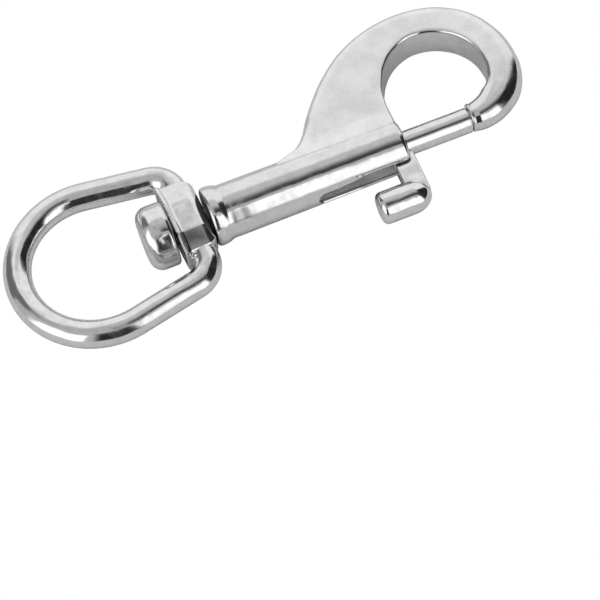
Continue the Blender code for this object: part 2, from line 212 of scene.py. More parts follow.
def buffed(thing, angle=32.0, weighted=True):
    """Smooth shading that keeps the crisp edges and, if weighted, follows the large faces."""
    thing.data.shade_smooth()
    thing.data.set_sharp_from_angle(angle=math.radians(angle))
    if not weighted:
        return
    step = thing.modifiers.new("even_shading", "WEIGHTED_NORMAL")
    step.keep_sharp = True
    step.weight = 60


def around(angle, radius):
    """A point of the hook, seen from the centre of its opening."""
    turn = math.radians(angle)
    return arch_x + radius * math.cos(turn), ARCH_HEIGHT + radius * math.sin(turn)


def hook_stations():
    """Outer point, inner point, half thickness and the two edge rounds of each section."""
    inner = OPENING_RADIUS
    outer = OPENING_RADIUS + ARCH_WIDTH
    foot = wall_x - FIN_LENGTH
    rows = []
    for along, rise, wall in (
        (-1.0, -4.9, 1.0),
        (0.0, -2.4, 2.6),
        (3.4, -0.85, 4.6),
        (6.6, 0.35, 6.4),
        (9.4, 2.95, 8.6),
    ):
        rows.append((foot + along, BARREL_REAR + rise, wall_x, wall, HOOK_HALF, OUTER_ROUND, INNER_ROUND))
    # The back of the fin winds in from a wide spiral to the round of the arch
    for angle_out, grow, angle_in, fill, round_out in (
        (175.5, 9.6, 174.0, 0.45, OUTER_ROUND),
        (167.0, 7.4, 160.0, 0.8, OUTER_ROUND),
        (154.0, 5.0, 144.0, 0.8, OUTER_ROUND),
        (136.0, 2.8, 126.0, 0.55, OUTER_ROUND),
        (114.0, 1.0, 108.0, 0.25, OUTER_ROUND),
        (90.0, 0.1, 90.0, 0.0, OUTER_ROUND),
        (66.0, 0.0, 68.0, 0.0, OUTER_ROUND),
        (42.0, 0.0, 44.0, 0.0, OUTER_ROUND + 0.1),
        (18.0, -0.1, 20.0, 0.0, OUTER_ROUND + 0.5),
    ):
        rows.append(
            (
                *around(angle_out, outer + grow),
                *around(angle_in, inner - fill),
                HOOK_HALF,
                round_out,
                INNER_ROUND,
            )
        )
    # The tip rounds off and tapers down onto the bolt's axis, where it is as round as the bolt
    full = NOSE_RADIUS * ROUND_SHARE
    for angle_out, trim, angle_in, fill, thinner, round_out, round_in in (
        (-3.0, 0.0, -5.0, 0.0, 0.0, OUTER_ROUND + 1.0, INNER_ROUND + 0.2),
        (-17.0, 0.0, -19.0, 0.1, 0.1, OUTER_ROUND + 1.35, INNER_ROUND + 0.5),
        (-30.0, -0.45, -29.0, 0.5, 0.22, OUTER_ROUND + 1.4, INNER_ROUND + 1.0),
    ):
        rows.append(
            (
                *around(angle_out, outer + trim),
                *around(angle_in, inner - fill),
                HOOK_HALF - thinner,
                round_out,
                round_in,
            )
        )
    for out_x, out_y, in_x, in_y, half, round_in in (
        (9.75, -0.6, 4.75, 4.7, 3.75, 2.2),
        (7.4, -1.95, 3.75, 4.05, 3.6, 2.6),
        (5.4, -2.65, 2.8, 3.68, 3.42, 2.9),
        (3.6, -2.98, 1.9, 3.45, 3.28, full),
        (2.1, -3.02, 1.1, 3.3, 3.15, full),
        (1.0, -2.85, 0.65, 3.22, 3.0, full),
        (0.4, -2.65, 0.4, 3.15, 2.85, full),
    ):
        rows.append((nose_x + out_x, out_y, nose_x + in_x, in_y, half, half, round_in))
    return rows


def cheek_height(x, y, half):
    """Half thickness of the fin here: low down it sweeps out into the barrel in a soft hollow."""
    along = min(max((x - SHOULDER_X) / (mouth_x - SHOULDER_X), 0.0), 1.0)
    barrel = BARREL_REAR + (BARREL_MOUTH - BARREL_REAR) * along
    if y >= ROOT_RISE:
        return half
    foot = ROOT_FOOT * barrel
    height = math.sqrt(barrel**2 - foot**2)
    if y <= foot:
        return math.sqrt(barrel**2 - min(y, barrel) ** 2) - 0.08 * (foot - y)
    # A curve from the barrel's skin, along its slope there, that dies out in the flat of the cheek
    share = (y - foot) / (ROOT_RISE - foot)
    slope = -foot / height * (ROOT_RISE - foot)
    near = share**3 * (10 - 15 * share + 6 * share**2)
    return height + (half - height) * near + slope * share * (1 - share) ** 3


def hook_form():
    rings = []
    cheek_steps = 14
    for xo, yo, xi, yi, half, round_out, round_in in smooth_through(hook_stations(), SECTION_STEPS):
        width = math.hypot(xo - xi, yo - yi)
        along = ((xo - xi) / width, (yo - yi) / width)
        round_in = min(round_in, width / 2 * ROUND_SHARE, half * ROUND_SHARE)
        round_out = min(round_out, width - round_in * 1.02, half * ROUND_SHARE)
        upper = corner((width - round_out, half - round_out), round_out, 0, 90)
        flat = width - round_out - round_in
        upper += [(width - round_out - flat * k / cheek_steps, half) for k in range(1, cheek_steps)]
        upper += corner((round_in, half - round_in), round_in, 90, 180)
        ring = []
        for a, z in upper + [(a, -z) for a, z in reversed(upper)]:
            x, y = xi + along[0] * a, yi + along[1] * a
            swell = cheek_height(x, y, half) / half if x < arch_x else 1.0
            ring.append((x, y, z * swell))
        rings.append(ring)
    return lofted("hook_form", rings)


bead_curve = smooth_through(
    [
        (SHOULDER_X + BEAD_WIDTH * along, BARREL_REAR + BEAD_RISE * rise)
        for along, rise in (
            (0.0, 0.1),
            (0.05, 0.62),
            (0.15, 0.92),
            (0.3, 1.0),
            (0.5, 0.92),
            (0.7, 0.64),
            (0.86, 0.26),
            (1.0, 0.0),
            (1.35, 0.02),
        )
    ],
    4,
)
mouth_arc = [
    (mouth_x - MOUTH_EDGE + x, BARREL_MOUTH - MOUTH_EDGE + r)
    for x, r in corner((0.0, 0.0), MOUTH_EDGE, 88, 4)
]
barrel_profile = [(SHOULDER_X, 0.0)] + bead_curve + mouth_arc + [(mouth_x, 0.0)]
cast_hook = turned("cast_hook", barrel_profile, sides=288)
rim = [(nose_x, 0.0)]
rim += [
    (nose_x + RIM_REAR_EDGE + x, RIM_RADIUS - RIM_REAR_EDGE + r)
    for x, r in corner((0.0, 0.0), RIM_REAR_EDGE, 180, 90, 5)
]
rim += [
    (nose_x + RIM_WIDTH - RIM_FRONT_EDGE + x, RIM_RADIUS - RIM_FRONT_EDGE + r)
    for x, r in corner((0.0, 0.0), RIM_FRONT_EDGE, 90, 10, 4)
]
rim += [(nose_x + RIM_ROOT, 0.0)]
combine(cast_hook, hook_form(), "UNION")
combine(cast_hook, turned("rim_form", rim, sides=64, axis_y=NOSE_RISE), "UNION")
bore_radius = bolt_radius + CLEAR
bore = [
    (SHOULDER_X - OVERCUT, 0.0),
    (SHOULDER_X - OVERCUT, POST_RADIUS + CLEAR),
    (post_x + CLEAR, POST_RADIUS + CLEAR),
    (post_x + CLEAR, bore_radius),
    (nose_x - 1.0, bore_radius),
    (nose_x - 1.0, SPIGOT_RADIUS + CLEAR),
    (nose_x + SOCKET_DEPTH, SPIGOT_RADIUS + CLEAR),
    (nose_x + SOCKET_DEPTH, 0.0),
]
combine(cast_hook, turned("bore_form", bore, sides=96), "DIFFERENCE")
slot_rear = mouth_x - SLOT_LENGTH
slot_half = (SLOT_ROOF - SLOT_FLOOR) / 2
step_x = mouth_x - SLOT_WIDE_LENGTH
slot_outline = [(mouth_x + OVERCUT, SLOT_ROOF_FRONT)]
slot_outline += [(step_x, SLOT_ROOF_FRONT), (step_x - SLOT_TAPER, SLOT_ROOF)]
slot_outline += corner((slot_rear + slot_half, SLOT_FLOOR + slot_half), slot_half, 90, 270, 24)
slot_outline += [(mouth_x + OVERCUT, SLOT_FLOOR)]
combine(cast_hook, milled("slot_form", slot_outline, -2 * BARREL_REAR, 0.0), "DIFFERENCE")
lip_outline = [
    (-SLOT_LIP, SLOT_FLOOR),
    (-SLOT_LIP, SLOT_FLOOR + SLOT_LIP_LIFT),
    (-SLOT_LIP - SLOT_LIP_RUN, SLOT_FLOOR + SLOT_LIP_LIFT),
    (-SLOT_LIP - SLOT_LIP_RUN, SLOT_FLOOR - SLOT_LIP_RUN),
]
lip_ends = (slot_rear + slot_half * 0.6, mouth_x + OVERCUT)
lip_form = lofted("lip_form", [[(x, y, z) for y, z in lip_outline] for x in lip_ends])
combine(cast_hook, lip_form, "DIFFERENCE")
buffed(cast_hook, weighted=False)


def new_group(name, inputs, outputs):
    """An empty shader group: sockets are given as (name, default) and (name, type)."""
    made = bpy.data.node_groups.new(name, "ShaderNodeTree")
    for label, default in inputs:
        kind = "NodeSocketVector" if default is None else "NodeSocketFloat"
        socket = made.interface.new_socket(label, in_out="INPUT", socket_type=kind)
        if default is not None:
            socket.default_value = default
    for label in outputs:
        made.interface.new_socket(label, in_out="OUTPUT", socket_type="NodeSocketFloat")
    return made, made.nodes.new("NodeGroupInput"), made.nodes.new("NodeGroupOutput")


def maths(tree, operation, a, b=None, clamp=False):
    """A Math node; each operand is a socket or a number."""
    node = tree.nodes.new("ShaderNodeMath")
    node.operation = operation
    node.use_clamp = clamp
    for slot, value in zip(node.inputs, (a, b)):
        if value is None:
            continue
        if isinstance(value, (int, float)):
            slot.default_value = value
        else:
            tree.links.new(value, slot)
    return node.outputs[0]


def spread(tree, value, low, high, to_low, to_high):
    """Maps a value onto a range, smoothly and without overshoot."""
    node = tree.nodes.new("ShaderNodeMapRange")
    node.interpolation_type = "SMOOTHSTEP"
    tree.links.new(value, node.inputs["Value"])
    for label, number in (("From Min", low), ("From Max", high), ("To Min", to_low), ("To Max", to_high)):
        node.inputs[label].default_value = number
    return node.outputs["Result"]


def noise(tree, where, scale, detail=2.0, rough=0.5):
    node = tree.nodes.new("ShaderNodeTexNoise")
    tree.links.new(where, node.inputs["Vector"])
    if isinstance(scale, (int, float)):
        node.inputs["Scale"].default_value = scale
    else:
        tree.links.new(scale, node.inputs["Scale"])
    node.inputs["Detail"].default_value = detail
    node.inputs["Roughness"].default_value = rough
    return node.outputs["Fac"]


def make_buffing():
    """Buffed steel: a slow waviness left by the wheel, hazy patches and fine hairlines."""
    group, given, out = new_group(
        "buffing_marks", [("Where", None), ("Wave Size", 220.0), ("Haze Size", 520.0)], ["Height", "Haze"]
    )
    where = given.outputs["Where"]
    wave = noise(group, where, given.outputs["Wave Size"], 1.0, 0.4)
    haze = noise(group, where, given.outputs["Haze Size"], 5.0, 0.62)
    lines = group.nodes.new("ShaderNodeMapping")
    lines.inputs["Scale"].default_value = (260.0, 3800.0, 3800.0)
    group.links.new(where, lines.inputs["Vector"])
    hair = noise(group, lines.outputs["Vector"], 1.0, 2.0, 0.6)
    height = maths(group, "ADD", wave, maths(group, "MULTIPLY", hair, 0.006))
    group.links.new(height, out.inputs["Height"])
    group.links.new(spread(group, haze, 0.35, 0.72, 0.0, 1.0), out.inputs["Haze"])
    return group


def make_casting_skin():
    """Satin casting skin: soft cloudy patches, fine grain and scattered darker pits."""
    group, given, out = new_group(
        "casting_skin", [("Where", None), ("Patch Size", 210.0), ("Grain Size", 1500.0)],
        ["Height", "Cloud", "Pits"],
    )
    where = given.outputs["Where"]
    cloud = noise(group, where, given.outputs["Patch Size"], 6.0, 0.66)
    grain = noise(group, where, given.outputs["Grain Size"], 3.0, 0.6)
    pits = spread(group, grain, 0.27, 0.37, 1.0, 0.0)
    height = maths(group, "SUBTRACT", grain, maths(group, "MULTIPLY", pits, 0.5))
    group.links.new(height, out.inputs["Height"])
    group.links.new(spread(group, cloud, 0.34, 0.66, 0.0, 1.0), out.inputs["Cloud"])
    group.links.new(pits, out.inputs["Pits"])
    return group


buffing_marks = make_buffing()
casting_skin = make_casting_skin()


def blend_colour(tree, amount, first, second):
    """Mixes two colours by an amount; each is a socket or a plain colour."""
    node = tree.nodes.new("ShaderNodeMix")
    node.data_type = "RGBA"
    tree.links.new(amount, node.inputs["Factor"])
    for slot, value in ((node.inputs[6], first), (node.inputs[7], second)):
        if isinstance(value, tuple):
            slot.default_value = (*value, 1.0)
        else:
            tree.links.new(value, slot)
    return node.outputs[2]


def blend_value(tree, amount, first, second):
    """Goes from the first value to the second as the amount goes from 0 to 1."""
    difference = maths(tree, "SUBTRACT", second, first)
    return maths(tree, "ADD", first, maths(tree, "MULTIPLY", difference, amount))


def new_steel(name):
    """A metal with its shader, its place on the piece and both finishes ready to use."""
    made = bpy.data.materials.new(name)
    made.use_nodes = True
    tree = made.node_tree
    shader = tree.nodes["Principled BSDF"]
    shader.inputs["Metallic"].default_value = 1.0
    return made, tree, shader, tree.nodes.new("ShaderNodeTexCoord")


def finish_group(tree, group, where, **sizes):
    node = tree.nodes.new("ShaderNodeGroup")
    node.node_tree = group
    tree.links.new(where, node.inputs["Where"])
    for label, value in sizes.items():
        node.inputs[label.replace("_", " ").title()].default_value = value
    return node.outputs


def relief(tree, shader, height, depth, edge_round):
    """Bump from a height between 0 and 1, on edges broken by this much."""
    bump = tree.nodes.new("ShaderNodeBump")
    bump.inputs["Strength"].default_value = 1.0
    bump.inputs["Distance"].default_value = depth
    tree.links.new(height, bump.inputs["Height"])
    edge = tree.nodes.new("ShaderNodeBevel")
    edge.samples = 6
    edge.inputs["Radius"].default_value = edge_round
    tree.links.new(edge.outputs["Normal"], bump.inputs["Normal"])
    tree.links.new(bump.outputs["Normal"], shader.inputs["Normal"])


SATIN_LIGHT = (0.91, 0.91, 0.91)
SATIN_DARK = (0.76, 0.76, 0.77)
BUFFED_BRIGHT = (0.80, 0.80, 0.81)
BUFFED_HAZE = (0.70, 0.70, 0.71)
PIT_GREY = (0.6, 0.6, 0.61)
# Painted light: the slot and bore are coloured paler than the buffed steel so they read lit
RECESS_PAINTED_LIGHT_PALE = (0.97, 0.97, 0.97)
RECESS_PAINTED_LIGHT_GREY = (0.9, 0.9, 0.91)
# Painted shade for the barrel's rear face in the gap behind the hub
REAR_FACE_PAINTED_SHADE = (0.1, 0.1, 0.105)

cast_steel, tree, shader, place = new_steel("cast_stainless")
where = place.outputs["Object"]
skin = finish_group(tree, casting_skin, where)
marks = finish_group(tree, buffing_marks, where)
facing = tree.nodes.new("ShaderNodeSeparateXYZ")
tree.links.new(place.outputs["Normal"], facing.inputs[0])
position = tree.nodes.new("ShaderNodeSeparateXYZ")
tree.links.new(where, position.inputs[0])
cheek = spread(tree, maths(tree, "ABSOLUTE", facing.outputs["Z"]), 0.8, 0.99, 0.0, 1.0)
satin_low, satin_high = bench.y + 1.0 * MM, bench.y + 5.0 * MM
above_barrel = spread(tree, position.outputs["Y"], satin_low, satin_high, 0.0, 1.0)
satin = maths(tree, "MULTIPLY", cheek, above_barrel)
satin_colour = blend_colour(tree, skin["Cloud"], SATIN_DARK, SATIN_LIGHT)
satin_colour = blend_colour(tree, maths(tree, "MULTIPLY", skin["Pits"], 0.3), satin_colour, PIT_GREY)
buffed_colour = blend_colour(tree, marks["Haze"], BUFFED_BRIGHT, BUFFED_HAZE)
colour = blend_colour(tree, satin, buffed_colour, satin_colour)
# Inside the slot and the bore the casting is left rough, and its colour is painted paler as painted light
# in the recess
off_axis_y = maths(tree, "SUBTRACT", position.outputs["Y"], bench.y)
off_axis_z = maths(tree, "SUBTRACT", position.outputs["Z"], bench.z)
squares = [maths(tree, "POWER", offset, 2.0) for offset in (off_axis_y, off_axis_z)]
off_axis = maths(tree, "SQRT", maths(tree, "ADD", *squares))
behind_mouth = maths(tree, "LESS_THAN", position.outputs["X"], bench.x + (mouth_x - 0.6) * MM)
recess = spread(tree, off_axis, (SLOT_LIP - 0.25) * MM, SLOT_LIP * MM, 1.0, 0.0)
recess = maths(tree, "MULTIPLY", recess, behind_mouth)
recess_painted_light_colour = blend_colour(tree, skin["Cloud"], RECESS_PAINTED_LIGHT_GREY, RECESS_PAINTED_LIGHT_PALE)
colour = blend_colour(tree, recess, colour, recess_painted_light_colour)
# The rear face, hidden behind the hub, is painted dark as the shade in the narrow gap to the hub, and is
# left rough
rear_face_shade = spread(tree, facing.outputs["X"], -0.95, -0.6, 1.0, 0.0)
at_rear = maths(tree, "LESS_THAN", position.outputs["X"], bench.x + (SHOULDER_X + 1.0) * MM)
rear_face_shade = maths(tree, "MULTIPLY", rear_face_shade, at_rear)
colour = blend_colour(tree, rear_face_shade, colour, REAR_FACE_PAINTED_SHADE)
tree.links.new(colour, shader.inputs["Base Color"])
satin_rough = maths(tree, "ADD", 0.25, maths(tree, "MULTIPLY", skin["Cloud"], 0.09))
buffed_rough = maths(tree, "ADD", 0.09, maths(tree, "MULTIPLY", marks["Haze"], 0.1))
rough = blend_value(tree, satin, buffed_rough, satin_rough)
rough = blend_value(tree, recess, rough, 0.7)
tree.links.new(blend_value(tree, rear_face_shade, rough, 0.5), shader.inputs["Roughness"])
height = blend_value(tree, satin, marks["Height"], maths(tree, "MULTIPLY", skin["Height"], 0.12))
relief(tree, shader, height, 0.12 * MM, 0.25 * MM)
cast_hook.data.materials.clear()
cast_hook.data.materials.append(cast_steel)
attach(cast_hook, "snap_body")
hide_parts("body")

# --- Swivel post ----------------------------------------------------------------------
# A turned and polished headed pin. It passes through the eye's hub and is fixed in the
# rear of the barrel, so its domed head keeps the eye on and lets it spin.
HEAD_ROUND = 2.8
HEAD_FRONT_ROUND = 0.9
HEAD_THICKNESS = 6.3
POST_CHAMFER = 0.4
POLISHED_BRIGHT = (0.82, 0.82, 0.83)
POLISHED_HAZE = (0.72, 0.72, 0.73)
POLISHED_EDGE = 0.2
HUB_SATIN_LIGHT = (0.82, 0.82, 0.82)
HUB_SATIN_DARK = (0.6, 0.6, 0.61)
HUB_SATIN_ROUGH = 0.34
# Painted shade for the shank where it shows in the gap between hub and barrel
SHANK_PAINTED_SHADE = (0.14, 0.14, 0.145)
SHANK_PAINTED_SHADE_DEEP = (0.08, 0.08, 0.085)

head_radius = (post_high.z - post_low.z) / 2 / MM
head_rear = (post_low.x - bench.x) / MM
head_front = head_rear + HEAD_THICKNESS
post_profile = [(head_rear, 0.0)]
post_profile += [
    (head_rear + HEAD_ROUND + x, head_radius - HEAD_ROUND + r)
    for x, r in corner((0.0, 0.0), HEAD_ROUND, 180, 90, 16)
]
post_profile += [
    (head_front - HEAD_FRONT_ROUND + x, head_radius - HEAD_FRONT_ROUND + r)
    for x, r in corner((0.0, 0.0), HEAD_FRONT_ROUND, 90, 0)
]
post_profile += [
    (head_front, POST_RADIUS),
    (post_x - POST_CHAMFER, POST_RADIUS),
    (post_x, POST_RADIUS - POST_CHAMFER),
    (post_x, 0.0),
]
headed_post = turned("headed_post", post_profile)
buffed(headed_post)


def polished_steel(name, wave_size, depth, haze=0.1, flats_from=None):
    """Mirror-polished stainless with a faint waviness and hazy patches.

    Level faces past the X of flats_from, when it is given, are only satin.
    """
    made, tree, shader, place = new_steel(name)
    marks = finish_group(tree, buffing_marks, place.outputs["Object"], wave_size=wave_size)
    colour = blend_colour(tree, marks["Haze"], POLISHED_BRIGHT, POLISHED_HAZE)
    rough = maths(tree, "ADD", 0.09, maths(tree, "MULTIPLY", marks["Haze"], haze))
    if flats_from is not None:
        facing = tree.nodes.new("ShaderNodeSeparateXYZ")
        tree.links.new(place.outputs["Normal"], facing.inputs[0])
        position = tree.nodes.new("ShaderNodeSeparateXYZ")
        tree.links.new(place.outputs["Object"], position.inputs[0])
        level = spread(tree, maths(tree, "ABSOLUTE", facing.outputs["Z"]), 0.95, 0.99, 0.0, 1.0)
        start, end = flats_from - 1.5 * MM, flats_from + 1.0 * MM
        after = spread(tree, position.outputs["X"], start, end, 0.0, 1.0)
        satin = maths(tree, "MULTIPLY", level, after)
        skin = finish_group(tree, casting_skin, place.outputs["Object"], patch_size=420.0)
        satin_colour = blend_colour(tree, skin["Cloud"], HUB_SATIN_DARK, HUB_SATIN_LIGHT)
        colour = blend_colour(tree, satin, colour, satin_colour)
        rough = blend_value(tree, satin, rough, HUB_SATIN_ROUGH)
    tree.links.new(colour, shader.inputs["Base Color"])
    tree.links.new(rough, shader.inputs["Roughness"])
    relief(tree, shader, marks["Height"], depth * MM, POLISHED_EDGE * MM)
    return made


headed_post.data.materials.append(polished_steel("polished_post", 240.0, 0.5, haze=0.14))
# The shank, where it runs in the hub, is painted dark as the shade in the gap between hub and barrel, and
# is left dull
painted_shade_shank, tree, shader, place = new_steel("painted_shade_shank")
marks = finish_group(tree, buffing_marks, place.outputs["Object"], haze_size=700.0)
shank_shade_colour = blend_colour(tree, marks["Haze"], SHANK_PAINTED_SHADE, SHANK_PAINTED_SHADE_DEEP)
shank_rough = maths(tree, "ADD", 0.35, maths(tree, "MULTIPLY", marks["Haze"], 0.15))
tree.links.new(shank_shade_colour, shader.inputs["Base Color"])
tree.links.new(shank_rough, shader.inputs["Roughness"])
headed_post.data.materials.append(painted_shade_shank)
shank_start = bench.x + (head_front + 0.05) * MM
for face in headed_post.data.polygons:
    if face.center.x > shank_start:
        face.material_index = 1
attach(headed_post, "snap_body")
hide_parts("swivel_post")

# --- Spring ---------------------------------------------------------------------------
# A closed-end compression spring of hard drawn wire in the barrel's bore. It seats on the
# post and pushes on the bolt's tail; it shows only through the slot.
SPRING_WIRE = 0.55
SPRING_TURNS = 11
CLOSED_PITCH = 1.3
COIL_STEPS = 40
WIRE_BRIGHT = (0.6, 0.6, 0.61)
WIRE_DARK = (0.38, 0.38, 0.39)

spring_low, spring_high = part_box("spring")
coil_radius = (spring_high.z - spring_low.z) / 2 / MM - SPRING_WIRE / 2


def swept(name, path, radius, sides):
    """A round wire along a path of 3D points, with its section carried along."""
    path = [Vector(p) for p in path]
    rings = []
    side = None
    for i, point in enumerate(path):
        along = (path[min(i + 1, len(path) - 1)] - path[max(i - 1, 0)]).normalized()
        if side is None:
            side = along.orthogonal().normalized()
        side = (side - along * side.dot(along)).normalized()
        up = along.cross(side)
        turns = [2 * math.pi * k / sides for k in range(sides)]
        rings.append([point + radius * (math.cos(t) * side + math.sin(t) * up) for t in turns])
    return lofted(name, rings)


spring_start = (spring_low.x - bench.x) / MM + SPRING_WIRE / 2
spring_end = (spring_high.x - bench.x) / MM - SPRING_WIRE / 2
closed = SPRING_WIRE * CLOSED_PITCH
coil = []
for i in range((SPRING_TURNS + 2) * COIL_STEPS + 1):
    turn = i / COIL_STEPS
    if turn <= 1:
        x = spring_start + closed * turn
    elif turn >= SPRING_TURNS + 1:
        x = spring_end - closed * (SPRING_TURNS + 2 - turn)
    else:
        open_length = spring_end - spring_start - 2 * closed
        x = spring_start + closed + open_length * (turn - 1) / SPRING_TURNS
    angle = 2 * math.pi * turn
    coil.append((x, coil_radius * math.cos(angle), coil_radius * math.sin(angle)))
coil_spring = swept("coil_spring", coil, SPRING_WIRE / 2, 12)
coil_spring.data.shade_smooth()
drawn_steel, tree, shader, place = new_steel("drawn_wire")
marks = finish_group(tree, buffing_marks, place.outputs["Object"], haze_size=900.0)
wire_colour = blend_colour(tree, marks["Haze"], WIRE_BRIGHT, WIRE_DARK)
wire_rough = maths(tree, "ADD", 0.24, maths(tree, "MULTIPLY", marks["Haze"], 0.2))
tree.links.new(wire_colour, shader.inputs["Base Color"])
tree.links.new(wire_rough, shader.inputs["Roughness"])
coil_spring.data.materials.append(drawn_steel)
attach(coil_spring, "snap_body")
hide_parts("spring")
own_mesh(coil_spring)

# --- Bolt -----------------------------------------------------------------------------
# A ground and polished round bar. It slides in the barrel and closes the hook by entering
# the socket in the nose with a short spigot; a cross hole takes the lever's tenon.
BOLT_EDGE = 0.35
SPIGOT_EDGE = 0.35
SHOULDER_EDGE = 0.2
TAB_LENGTH = 4.9
TENON_RADIUS = 1.5

tail_x = (bolt_low.x - bench.x) / MM
tip_x = (bolt_high.x - bench.x) / MM
tab_x = mouth_x + TAB_OVERHANG - TAB_LENGTH / 2
bolt_profile = [(tail_x, 0.0)]
bolt_profile += [
    (tail_x + BOLT_EDGE + x, bolt_radius - BOLT_EDGE + r)
    for x, r in corner((0.0, 0.0), BOLT_EDGE, 180, 90, 5)
]
bolt_profile += [
    (nose_x - CLEAR - SHOULDER_EDGE + x, bolt_radius - SHOULDER_EDGE + r)
    for x, r in corner((0.0, 0.0), SHOULDER_EDGE, 90, 0, 4)
]
bolt_profile += [(nose_x - CLEAR, SPIGOT_RADIUS)]
bolt_profile += [
    (tip_x - SPIGOT_EDGE + x, SPIGOT_RADIUS - SPIGOT_EDGE + r)
    for x, r in corner((0.0, 0.0), SPIGOT_EDGE, 90, 0, 5)
]
bolt_profile += [(tip_x, 0.0)]
round_bolt = turned("round_bolt", bolt_profile)
tenon_hole = milled(
    "tenon_hole_form",
    corner((tab_x, 0.0), TENON_RADIUS + CLEAR, 0, 360 - 360 / 48, 47),
    -bolt_radius - 1,
    bolt_radius + 1,
)
combine(round_bolt, tenon_hole, "DIFFERENCE")
buffed(round_bolt)
round_bolt.data.materials.clear()
round_bolt.data.materials.append(polished_steel("polished_bolt", 180.0, 0.12))
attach(round_bolt, "bolt_set")
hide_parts("bolt")

# --- Thumb lever ----------------------------------------------------------------------
# A solid round knob on a flat tab. The tab runs in the barrel's slot and its tenon is
# fixed in the bolt's cross hole, so pulling the knob back draws the bolt.
KNOB_EDGE = 1.3
KNOB_DOME = 4.6
TAB_THICKNESS = 3.1
TAB_EDGE = 0.45

knob_radius = (lever_high.z - lever_low.z) / 2 / MM
knob_y = (lever_low.y - bench.y) / MM + knob_radius
knob_rear = (lever_low.x - bench.x) / MM
knob_front = (lever_high.x - bench.x) / MM
knob_profile = [(knob_rear, 0.0)]
knob_profile += [
    (knob_rear + KNOB_EDGE + x, knob_radius - KNOB_EDGE + r)
    for x, r in corner((0.0, 0.0), KNOB_EDGE, 180, 90)
]
knob_profile += [
    (knob_front - KNOB_DOME + x * KNOB_DOME / knob_radius, r)
    for x, r in corner((0.0, 0.0), knob_radius, 90, 4, 20)
]
knob_profile += [(knob_front, 0.0)]
thumb_piece = turned("thumb_piece", knob_profile, sides=96, axis_y=knob_y)
half = TAB_THICKNESS / 2
reach = TAB_LENGTH / 2
tab_outline = corner((tab_x + reach - TAB_EDGE, half - TAB_EDGE), TAB_EDGE, 0, 90, 6)
tab_outline += corner((tab_x - reach + TAB_EDGE, half - TAB_EDGE), TAB_EDGE, 90, 180, 6)
tab_outline += [(x, -z) for x, z in reversed(tab_outline)]
tab_top = -bolt_radius - CLEAR
combine(thumb_piece, milled("tab_form", tab_outline, knob_y, tab_top), "UNION")
tenon = corner((tab_x, 0.0), TENON_RADIUS, 0, 360 - 360 / 40, 39)
combine(thumb_piece, milled("tenon_form", tenon, tab_top - 1.0, bolt_radius - CLEAR), "UNION")
buffed(thumb_piece)
thumb_piece.data.materials.clear()
thumb_piece.data.materials.append(polished_steel("polished_knob", 200.0, 0.4))
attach(thumb_piece, "bolt_set")
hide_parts("thumb_lever")

# --- Swivel eye -----------------------------------------------------------------------
# A round wire ring whose two arms run into an eight-sided hub that is bored for the post.
# It is cast in one piece and polished; the loose hub leans a little on its post.
HUB_LENGTH = 7.55
HEAD_GAP = 0.5
HUB_HALF_HEIGHT = 7.9
HUB_UPPER_EXTRA = 1.4  # the hub reaches further on the hook's side
HUB_REAR_SLANT = 0.04  # the rear face leans back on that side, as a share of the height
HUB_SLANT_FROM = 3.5
HUB_HALF_THICKNESS = 4.6
HUB_FACE_HALF = 3.6
HUB_END_HALF = 3.0
HUB_LIP = 0.6
HUB_LIP_WIDTH = 0.8
HUB_ROUND = 3.0
HUB_CORNER = 0.22
EYE_RADIUS = 16.8
EYE_REACH = 25.4
ARM_ANGLE = 10.5
ARM_BEND = 5.0
EYE_WIRE = 3.0
EYE_LEAN = 2.0

hub_x = head_front + HEAD_GAP + HUB_LENGTH / 2


def hub_outline(grow, fade):
    """The hub's eight-sided section across the axis, as (y, z) points.

    Its lips grow by this much; on the hook's side they keep only the share given by fade.
    """
    height = HUB_HALF_HEIGHT + grow
    thick = HUB_HALF_THICKNESS + grow
    face = HUB_FACE_HALF + grow * 0.4
    end = HUB_END_HALF + grow * 0.6
    quarter = [(height, end), (face, thick)]
    top = HUB_HALF_HEIGHT + HUB_UPPER_EXTRA
    upper = [(top + grow * fade, HUB_END_HALF + grow * fade * 0.6)]
    upper += [(HUB_FACE_HALF + grow * fade * 0.4, HUB_HALF_THICKNESS + grow * (0.5 + 0.5 * fade))]
    upper += [(-y, z) for y, z in reversed(quarter)]
    corners = upper + [(y, -z) for y, z in reversed(upper)]
    # Each corner is broken by a small flat on either side, so that it catches the light
    out = []
    for i, (y, z) in enumerate(corners):
        before, after = corners[i - 1], corners[(i + 1) % len(corners)]
        for towards in (before, after):
            gone = HUB_CORNER / math.hypot(towards[0] - y, towards[1] - z)
            out.append((y + (towards[0] - y) * gone, z + (towards[1] - z) * gone))
    return out


centre = SHOULDER_X - EYE_REACH
lean = math.radians(ARM_ANGLE)
tangent_x = centre + EYE_RADIUS * math.sin(lean)
tangent_y = EYE_RADIUS * math.cos(lean)
line_y = tangent_y - (hub_x - tangent_x) * math.tan(lean)
cut = ARM_BEND * math.tan((math.pi / 2 - lean) / 2)
arm = [(hub_x, HUB_HALF_HEIGHT - 2.0)]
arm += corner((hub_x - ARM_BEND, line_y - cut), ARM_BEND, 0, 90 - ARM_ANGLE, 20)
arm.append(((arm[-1][0] + tangent_x) / 2, (arm[-1][1] + tangent_y) / 2))
loop = corner((centre, 0.0), EYE_RADIUS, 90 - ARM_ANGLE, 270 + ARM_ANGLE, 140)
wire = arm + loop + [(x, -y) for x, y in reversed(arm)]
swivel_eye = swept("swivel_eye", [(x, y, 0.0) for x, y in wire], EYE_WIRE, 64)
half_hub = HUB_LENGTH / 2
lip_sections = (
    (-half_hub, HUB_LIP - 0.25),
    (0.25 - half_hub, HUB_LIP),
    (HUB_LIP_WIDTH - half_hub, HUB_LIP),
    (HUB_LIP_WIDTH - half_hub + 0.3, HUB_LIP * 0.38),
    (HUB_LIP_WIDTH - half_hub + 0.6, HUB_LIP * 0.12),
    (HUB_LIP_WIDTH - half_hub + 0.95, 0.0),
)
